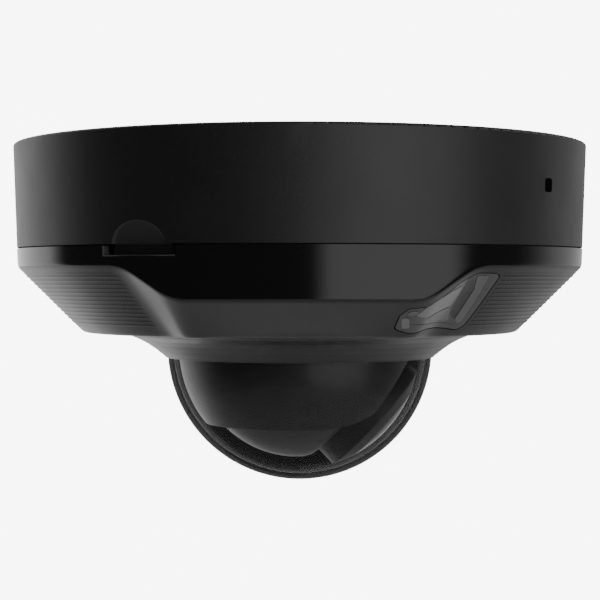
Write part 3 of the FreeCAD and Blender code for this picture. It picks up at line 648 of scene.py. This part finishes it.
def paint_below(piece, paint):
    """Gives the underside and the latch's recess their own finish."""
    piece.data.materials.append(paint)
    turn = Matrix.Rotation(math.radians(-LATCH_ANGLE), 3, "Z")
    for face in piece.data.polygons:
        spot = turn @ face.center
        recess = spot.x > (PART_R - 4.0) * MM and abs(spot.y) < (LATCH_W / 2 + 0.1) * MM
        wall = (turn @ face.normal).x < 0.9 and spot.z > (LATCH_LOW - 0.4) * MM
        if face.normal.z < -0.35 or (recess and wall):
            face.material_index = 1


def make_cover(paints):
    """The cover with its latch recess, and the two lamp windows' panes."""
    cover = cover_solid("cover_shell_visual", paints["cover"], COVER_WALL)
    cutters = [window_prism(WINDOW_GAP, side) for side in (-1, 1)]
    recess = block(LATCH_DEPTH + 8, LATCH_W, 8.0,
                   (PART_R + 4.0 - LATCH_DEPTH, 0, LATCH_LOW + 4.0), LATCH_ANGLE, 0.25)
    cutters.append(as_object(recess))
    back = block(7.0, LATCH_W - 2.0, 4.0, (68.5, 0, -27.45), LATCH_ANGLE)
    cutters.append(as_object(back))
    carve(cover, cutters)
    paint_below(cover, paints["satin"])
    place(cover, "base", "cover", "cover_shell")
    for side, label in ((-1, "right"), (1, "left")):
        pane = cover_solid("lamp_window_" + label + "_visual", paints["lamp_window"], PANE_WALL)
        carve(pane, [window_prism(0.0, side)], "INTERSECT")
        place(pane, "base", "lamp_window", "lamp_window_" + label)


# Moulded facets of a lamp window: outline on the facet's plane, tone and height above the pane
WINDOW_FACETS = {
    "light_bar": (((-9.1, 7.0), (-5.4, 8.0), (-2.2, 0.4), (0.2, -7.6), (-2.6, -6.8),
                   (-5.9, 3.2)), 0.11, 0.16),
    "lamp_well": (((-11.7, 5.9), (-9.6, 6.5), (-6.9, 4.1), (-2.5, -5.1), (-3.1, -6.7),
                   (-5.7, -5.5), (-7.5, -2.3), (-9.7, 2.5)), 0.022, 0.03),
    "upper_facet": (((-10.7, 3.7), (-14.0, 1.9), (-18.1, -1.6), (-19.6, -3.9), (-20.0, -7.0),
                     (-16.4, -6.8), (-13.0, -5.0), (-8.5, -3.0), (-9.5, 0.4)), 0.17, 0.10),
    "inner_facet": (((-12.7, -5.1), (-8.3, -3.3), (-4.4, -7.0), (-5.3, -7.6), (-15.0, -7.3)),
                    0.11, 0.08),
    "lower_edge": (((-19.9, -10.6), (-16.0, -9.0), (-1.7, -8.0), (0.2, -8.4), (-9.8, -9.7),
                    (-16.6, -11.6)), 0.06, 0.08),
    "end_block": (((-21.9, -8.9), (-20.4, -8.2), (-17.4, -10.9), (-18.6, -11.9)), 0.16, 0.14),
    "end_step": (((-22.2, -7.6), (-22.2, -6.0), (-19.9, -5.0), (-20.2, -7.0)), 0.11, 0.12),
}


def on_cover(points, side, lift):
    """Points on the facet's plane, moved along its normal onto the cover and then out by lift."""
    whole = np.array(facet_frame(-1))
    flat = np.array([(x, y, 0, 1) for x, y in points])
    base = (whole @ flat.T).T[:, :3]
    normal = whole[:3, 2]
    low, high = np.full(len(base), -9.0), np.full(len(base), 9.0)
    for _ in range(40):
        middle = (low + high) / 2
        spot = base + normal * middle[:, None]
        inside = spot[:, 2] > underside(spot[:, 0], spot[:, 1])
        low, high = np.where(inside, middle, low), np.where(inside, high, middle)
    placed = base + normal * (low + lift)[:, None]
    return placed * (1, -1, 1) if side > 0 else placed


def window_facet(name, outline, side, height, paint):
    """A thin moulded plate that follows the pane, with a sloping edge."""
    form = bmesh.new()
    line = rounded([(x, y, 0.5) for x, y in outline], 3)
    form.faces.new([form.verts.new((x, y, 0)) for x, y in line])
    for axis in (0, 1):
        for cut in np.arange(-23.5, 9.5, 0.75):
            plane = [(cut, 0, 0), (1, 0, 0)] if axis == 0 else [(0, cut, 0), (0, 1, 0)]
            everything = form.verts[:] + form.edges[:] + form.faces[:]
            bmesh.ops.bisect_plane(form, geom=everything, dist=1e-5,
                                   plane_co=plane[0], plane_no=plane[1])
    bmesh.ops.triangulate(form, faces=form.faces)
    form.verts.index_update()
    points = np.array([v.co[:2] for v in form.verts])
    rim = np.array([v.is_boundary for v in form.verts])
    middle = points.mean(0)
    shrunk = points + (middle - points) * np.where(rim, 0.03, 0.0)[:, None]
    top = on_cover(shrunk, side, height)
    back = on_cover(points, side, -0.35)
    count = len(points)
    faces = [tuple(v.index for v in face.verts) for face in form.faces]
    walls = [tuple(v.index for v in edge.verts) for edge in form.edges if edge.is_boundary]
    form.free()
    whole = faces + [tuple(count + k for k in face[::-1]) for face in faces]
    whole += [(a, b, count + b, count + a) for a, b in walls]
    piece = add(name, list(top) + list(back), whole, paint, 20.0)
    return place(piece, "base", "lamp_window")


def make_window_facets():
    """The moulded plates on both panes, each tone a material of its own."""
    for key, (outline, tone, height) in WINDOW_FACETS.items():
        paint = surface(key + "_moulded", (tone, tone, tone), 0.3, grain=0.05, grain_size=0.5,
                        mottle=0.12)
        for side, label in ((-1, "right"), (1, "left")):
            window_facet(key + "_" + label, outline, side, height, paint)


# ---- textured flanks ----

ROW_PITCH = 1.37
DOT_PITCH = 1.25
TEXTURE_TOP = 1.8              # from the wing's upper edge to the first row, along the slope
TEXTURE_END = 1.3
TEXTURE_HALF_ANGLE = 56.3
TEXTURE_MEAN_R = 65.5
TEXTURE_LIFT = 0.10            # how far the ridges stand out of the wing
TEXTURE_BACK = 1.1
TEXTURE_ROWS, TEXTURE_COLUMNS = 96, 600     # points of the mesh down and along the panel
DIMPLE = 0.46


def inside_window(points, side):
    """Distance from the window's outline, on its plane; negative inside."""
    flat = np.array([(facet_frame(side).inverted() @ Vector(p))[:2] for p in points])
    line = np.array(window_line(0.0))
    nxt = np.roll(line, -1, axis=0)
    edge = nxt - line
    best = np.full(len(flat), 1e9)
    inside = np.zeros(len(flat), bool)
    for a, e, b in zip(line, edge, nxt):
        t = np.clip(((flat - a) @ e) / max(e @ e, 1e-9), 0, 1)
        best = np.minimum(best, np.linalg.norm(flat - a - t[:, None] * e, axis=1))
        crosses = (a[1] > flat[:, 1]) != (b[1] > flat[:, 1])
        with np.errstate(divide="ignore", invalid="ignore"):
            at = a[0] + (flat[:, 1] - a[1]) * e[0] / (e[1] if abs(e[1]) > 1e-9 else 1e-9)
        inside ^= crosses & (flat[:, 0] < at)
    return np.where(inside, -best, best)


def make_flank(name, node_name, middle, paint):
    """One wing's panel: level ridges with dimples between them, row by row staggered."""
    slope = math.sqrt(0.5)
    length = (WING_Z - BOTTOM_Z) / slope
    start, end = TEXTURE_TOP, length - TEXTURE_END
    along = np.linspace(start - 0.2, end + 0.2, TEXTURE_ROWS)
    turns = np.radians(np.linspace(-TEXTURE_HALF_ANGLE, TEXTURE_HALF_ANGLE, TEXTURE_COLUMNS))
    grid_s, grid_t = np.meshgrid(along, turns, indexing="ij")
    radius = WING_R - grid_s * slope
    row = (grid_s - start) / ROW_PITCH
    index = np.floor(row)
    across = grid_t * TEXTURE_MEAN_R / DOT_PITCH + 0.5 * (index % 2)
    dot = (np.sin(np.pi * (row - index)) ** 2) * (0.5 + 0.5 * np.cos(2 * np.pi * across))
    ridge = np.sin(np.pi * (row - index)) ** 2
    rows = math.floor((end - start) / ROW_PITCH)
    border = np.minimum.reduce([
        np.clip((grid_s - start + 0.1) / 0.3, 0, 1),
        np.clip((start + rows * ROW_PITCH - grid_s) / 0.3, 0, 1),
        np.clip((math.radians(TEXTURE_HALF_ANGLE) - np.abs(grid_t)) * radius / 0.9, 0, 1)])
    px = radius * np.cos(grid_t)
    py = radius * np.sin(grid_t)
    pz = WING_Z - grid_s * slope
    points = np.stack([px, py, pz], -1).reshape(-1, 3)
    if middle == 0:
        for side in (-1, 1):
            clear_of = inside_window(points, side).reshape(radius.shape)
            border = np.minimum(border, np.clip((clear_of - 0.9) / 0.8, 0, 1))
    pressed = DIMPLE * (0.45 * ridge + 0.55 * dot) - 0.04
    depth = -TEXTURE_LIFT + (1 - border) * 0.45 + border * pressed
    inward = np.stack([-np.cos(grid_t) * slope, -np.sin(grid_t) * slope,
                       np.full_like(grid_t, slope)], -1)
    skin = points.reshape(*radius.shape, 3) + inward * depth[..., None]
    back = points.reshape(*radius.shape, 3) + inward * TEXTURE_BACK
    if middle:
        for layer in (skin, back):
            layer[..., :2] *= -1
    rows_n, cols_n = radius.shape
    verts = np.concatenate([skin.reshape(-1, 3), back.reshape(-1, 3)])
    faces = []
    offset = rows_n * cols_n
    for i in range(rows_n - 1):
        for j in range(cols_n - 1):
            a = i * cols_n + j
            faces.append((a, a + 1, a + cols_n + 1, a + cols_n))
    hem = list(range(cols_n)) + [i * cols_n + cols_n - 1 for i in range(1, rows_n)]
    hem += [(rows_n - 1) * cols_n + j for j in range(cols_n - 2, -1, -1)]
    hem += [i * cols_n for i in range(rows_n - 2, 0, -1)]
    for k, a in enumerate(hem):
        b = hem[(k + 1) % len(hem)]
        faces.append((a, offset + a, offset + b, b))
    for i in range(rows_n - 1):
        for j in range(cols_n - 1):
            a = offset + i * cols_n + j
            faces.append((a, a + cols_n, a + cols_n + 1, a + 1))
    piece = add(name, verts, faces, paint, 60.0)
    return place(piece, "base", "grille", node_name)


# ---- housing ----

def make_housing(paints):
    """A copy of the housing's solid with the rounded hollow above the latch cut into its wall."""
    mesh = frame["nodes"]["base_housing"].data.copy()
    mesh.name = "base_housing_visual"
    if "custom_normal" in mesh.attributes:
        mesh.attributes.remove(mesh.attributes["custom_normal"])
    piece = bpy.data.objects.new("base_housing_visual", mesh)
    bpy.context.scene.collection.objects.link(piece)
    finish_mesh(piece)
    form = rod(SCOOP_R, SCOOP_TOOL, 128)
    base = [edge for edge in form.edges if all(v.co.z < 0 for v in edge.verts)]
    bmesh.ops.bevel(form, geom=base, offset=1.2, segments=5, profile=0.5, affect="EDGES")
    bmesh.ops.translate(form, vec=(0, 0, SCOOP_TOOL / 2), verts=form.verts)
    lay_along_x(form)
    lean = math.atan2(SCOOP_DEPTH, SCOOP_TOP - PART_Z)
    bmesh.ops.rotate(form, matrix=Matrix.Rotation(lean, 3, "Y"), verts=form.verts)
    deepest = (PART_R - SCOOP_DEPTH, 0, SCOOP_TOP - SCOOP_R + 0.2)
    bmesh.ops.translate(form, vec=deepest, verts=form.verts)
    turn = Matrix.Rotation(math.radians(LATCH_ANGLE), 3, "Z")
    bmesh.ops.rotate(form, matrix=turn, verts=form.verts)
    bmesh.ops.scale(form, vec=(MM, MM, MM), verts=form.verts)
    carve(piece, [as_object(form)], sharp=24.0)
    piece.data.materials.clear()
    piece.data.materials.append(paints["housing"])
    place(piece, "base", "housing", "base_housing")


# ---- latch, ring, dome ----

def join(name, forms, paint, sharp=32.0):
    """One object from several bmesh forms."""
    mesh = bpy.data.meshes.new(name)
    whole = bmesh.new()
    for form in forms:
        part = bpy.data.meshes.new("part")
        form.to_mesh(part)
        form.free()
        whole.from_mesh(part)
        bpy.data.meshes.remove(part)
    whole.to_mesh(mesh)
    whole.free()
    made = bpy.data.objects.new(name, mesh)
    bpy.context.scene.collection.objects.link(made)
    mesh.shade_smooth()
    mesh.set_sharp_from_angle(angle=math.radians(sharp))
    mesh.materials.append(paint)
    return made


def make_latch(paints):
    """Tongue with level ribs, on the carrier that slides in the rim.

    The recess's lower lip and left wall get a lighter trim, which stands in for light caught there.
    """
    face = PART_R - LATCH_DEPTH - 0.4
    forms = [block(1.6, LATCH_W - 3.0, 1.9, (face - 0.8, 0, -28.2), LATCH_ANGLE, 0.2)]
    for k in range(3):
        rib_z = LATCH_RIB_TOP - LATCH_RIB_PITCH * k
        forms.append(block(0.8, LATCH_W - 4.4, 0.36, (face + 0.1, 0, rib_z), LATCH_ANGLE, 0.12))
    forms.append(block(5.0, LATCH_W - 4.0, 1.6, (face - 4.1, 0, -26.5), LATCH_ANGLE, 0.15))
    forms.append(block(1.6, LATCH_W - 4.0, 1.7, (face - 0.8, 0, -26.5), LATCH_ANGLE, 0.15))
    piece = join("cover_latch_visual", forms, paints["latch"])
    # Painted highlight: the recess's lower lip and left wall get a lighter grey that stands in for
    # light caught on those edges.
    lip_highlight_paint = surface("recess_edge_painted_highlight", (0.075, 0.075, 0.076), 0.4, grain=0.05, mottle=0.12)
    outer = PART_R - 0.22
    lip_at = (outer - 0.5, 0, LATCH_LOW + 0.16)
    wall_at = (outer - 1.3, -LATCH_W / 2 + 0.16, LATCH_LOW + 1.3)
    edge = [block(0.9, LATCH_W - 0.3, 0.32, lip_at, LATCH_ANGLE, 0.12),
            block(2.3, 0.3, 2.2, wall_at, LATCH_ANGLE, 0.1)]
    place(join("recess_edge_highlight_visual", edge, lip_highlight_paint), "base", "cover")
    place(piece, "latch", "latch", "cover_latch")


def arc(radius, start, end, steps, centre_z=0.0):
    """Points (r, z) on a circle about the axis, by degrees down from the level of its centre."""
    turns = np.radians(np.linspace(start, end, steps))
    return [(radius * math.cos(t), centre_z - radius * math.sin(t)) for t in turns]


def make_ring(paints):
    """The ring that holds the dome, swept in from the cover to the dome's wall."""
    low = -55.35
    line = rounded([
        (35.35, -46.2, 0), (44.75, -46.2, 0), (44.75, BOTTOM_Z, 0), (47.55, BOTTOM_Z - 0.02, 0.35),
        (44.4, -49.75, 5.0), (42.3, -50.6, 3.0), (40.2, -51.75, 3.0), (38.1, -53.2, 3.0),
        (35.95, low + 0.45, 0.5), (35.5, low, 0.15), (35.35, low, 0.1)], 4)
    piece = lathe("dome_ring_visual", line, paints["ring"], 256, 40.0)
    place(piece, "base", "ring", "dome_ring")


def make_dome(paints):
    """The bubble: flange, short upright neck and half sphere."""
    top, under = -43.6, -45.4
    flange, neck = 41.0, -48.0
    inner = DOME_R - DOME_WALL
    line = [(inner, top), (flange, top), (flange, under), (DOME_R, under), (DOME_R, neck)]
    line += arc(DOME_R, 0, 90, 80, DOME_Z)
    line[-1] = (0.0, DOME_Z - DOME_R)
    bowl = arc(inner, 90, 0, 80, DOME_Z)
    bowl[0] = (0.0, DOME_Z - inner)
    line += bowl + [(inner, neck)]
    piece = lathe("dome_bubble_visual", line, paints["dome"], 256, 40.0)
    place(piece, "base", "dome", "dome_bubble")


def prism(line, start, end):
    """A prism along X whose section is a (y, z) line and its mirror image."""
    section = list(line) + [(-y, z) for y, z in line[::-1]]
    form = bmesh.new()
    ends = [[form.verts.new((x * MM, y * MM, z * MM)) for y, z in section] for x in (start, end)]
    form.faces.new(ends[0])
    form.faces.new(ends[1])
    for k in range(len(section)):
        n = (k + 1) % len(section)
        form.faces.new((ends[0][k], ends[0][n], ends[1][n], ends[1][k]))
    bmesh.ops.recalc_face_normals(form, faces=form.faces)
    return form


def make_liner(paints):
    """The dark bowl inside the dome, open where the lens looks out."""
    inner = LINER_R - LINER_WALL
    rim = math.degrees(math.asin((DOME_Z - LINER_RIM) / LINER_R))
    rim_in = math.degrees(math.asin((DOME_Z - LINER_RIM) / inner))
    lip, top, under, neck = 28.45, -39.2, -40.4, -46.0
    line = [(lip, top), (LINER_R, top), (LINER_R, neck)] + arc(LINER_R, 0, rim, 40, DOME_Z)
    line += arc(inner, rim_in, 0, 40, DOME_Z) + [(inner, neck), (inner, under), (lip, under)]
    piece = lathe("liner_visual", line, paints["liner"], 256, 35.0)
    bore = rod(SLOT_R, SLOT_LENGTH, 160)
    lay_along_x(bore)
    cutters = [cutter_at(bore, (SLOT_LENGTH / 2, 0, SLOT_Z)),
               as_object(prism(SLOT_FLARE, 0.0, SLOT_LENGTH))]
    for side in (-1, 1):
        cutters.append(as_object(block(10.0, 2.6, 6.0, (BALL_AT.x, side * 28.6, -40.0))))
    carve(piece, cutters, sharp=35.0)
    place(piece, "pan", "liner", "liner")


# ---- camera ball and lens ----

def to_lens(piece):
    """Moves a piece made about the lens axis at the origin to its place in the ball."""
    turn = Matrix.Rotation(math.radians(90 + TILT_DOWN), 4, "Y")
    piece.data.transform(Matrix.Translation(BALL_AT * MM) @ turn)
    return piece


def make_ball(paints):
    """Front and rear halves of the camera ball, the front bored for the lens hood."""
    inner = BALL_R - BALL_WALL
    mouth = HOOD_R - 2.4
    seam = 0.06
    lip_z = 19.3
    lip = math.degrees(math.asin(lip_z / BALL_R))
    outer = [(r, -z) for r, z in arc(BALL_R, 0.5, lip, 70)]
    cut_z = BALL_CUT - 0.02
    hollow = [(r, -z) for r, z in arc(inner, math.degrees(math.acos(mouth / inner)), 0.2, 50)]
    front_line = [(17.2, cut_z - 0.1), (17.0, cut_z), (mouth, cut_z)]
    line = [(BALL_R - 0.12, seam)] + outer + front_line
    front = lathe("ball_front_visual", line + hollow + [(inner, seam)], paints["ball"], 256, 28.0)
    bore = cutter_at(rod(HOOD_R + 0.35, 30, 128), (-LENS_OFFSET, 0, 27.4))
    carve(front, [bore], sharp=35.0)
    place(to_lens(front), "tilt", "ball", "ball_front")
    bowl = [(BALL_R - 0.12, 0.0)] + arc(BALL_R, 0.3, 90, 90)
    bowl[-1] = (0.0, -BALL_R)
    cup = arc(inner, 90, 0, 60)
    cup[0] = (0.0, -inner)
    rear = lathe("ball_rear_visual", bowl + cup, paints["ball"], 256, 35.0)
    place(to_lens(rear), "tilt", "ball", "ball_rear")


def shift_lens(piece):
    """The same for the lens module, whose axis passes beside the ball's middle."""
    piece.data.transform(Matrix.Translation(Vector((-LENS_OFFSET, 0, 0)) * MM))
    return to_lens(piece)


def make_lens(paints):
    """The hood with its flare, cone and front seat, and the domed glass in it."""
    inner = HOOD_R - HOOD_WALL
    line = rounded([
        (6.4, 4.0, 0), (HOOD_R, 4.0, 0.2), (HOOD_R, BALL_CUT, 4.0), (HOOD_FRONT_R, HOOD_END, 0.5),
        (NOSE_R + 0.35, NOSE_END - 0.02, 0.15), (NOSE_R, NOSE_END - 0.1, 0.05),
        (NOSE_R, SEAT_Z, 0), (10.6, SEAT_Z, 0), (10.6, 25.8, 0), (inner, 24.4, 0),
        (inner, 5.8, 0), (6.4, 5.8, 0)], 5)
    hood = lathe("lens_hood_visual", line, paints["lens_hood"], 256, 40.0)
    place(shift_lens(hood), "lens", "lens_hood", "lens_hood")
    rim = NOSE_R - 0.03
    radius = (rim * rim + GLASS_BULGE ** 2) / (2 * GLASS_BULGE)
    centre = NOSE_END + GLASS_BULGE - radius
    reach = math.degrees(math.asin(rim / radius))
    cap = [(radius * math.sin(math.radians(t)), centre + radius * math.cos(math.radians(t)))
           for t in np.linspace(0, reach, 40)]
    cap[0] = (0.0, NOSE_END + GLASS_BULGE)
    line = cap + [(rim, SEAT_Z), (0.0, SEAT_Z)]
    glass = lathe("front_glass_visual", line, paints["front_glass"], 192, 25.0)
    place(shift_lens(glass), "lens", "front_glass", "front_glass")


# ---- CAD solids that stay ----

def paint_solids(paints):
    """Gives every kept solid its finish by the name of its material slot."""
    slots = {part["node"]: part["material_slot"] for part in frame["record"]["subparts"]}
    for name, piece in frame["nodes"].items():
        paint = paints[slots[name]]
        for k in range(len(piece.material_slots)):
            piece.material_slots[k].material = paint


make_camera()
make_world()
make_floor()
finishes = make_materials()
paint_solids(finishes)
make_cover(finishes)
make_flank("front_grille_visual", "front_grille", 0, finishes["grille"])
make_flank("rear_grille_visual", "rear_grille", 180, finishes["grille"])
make_window_facets()
make_housing(finishes)
make_latch(finishes)
make_ring(finishes)
make_dome(finishes)
make_liner(finishes)
make_ball(finishes)
make_lens(finishes)
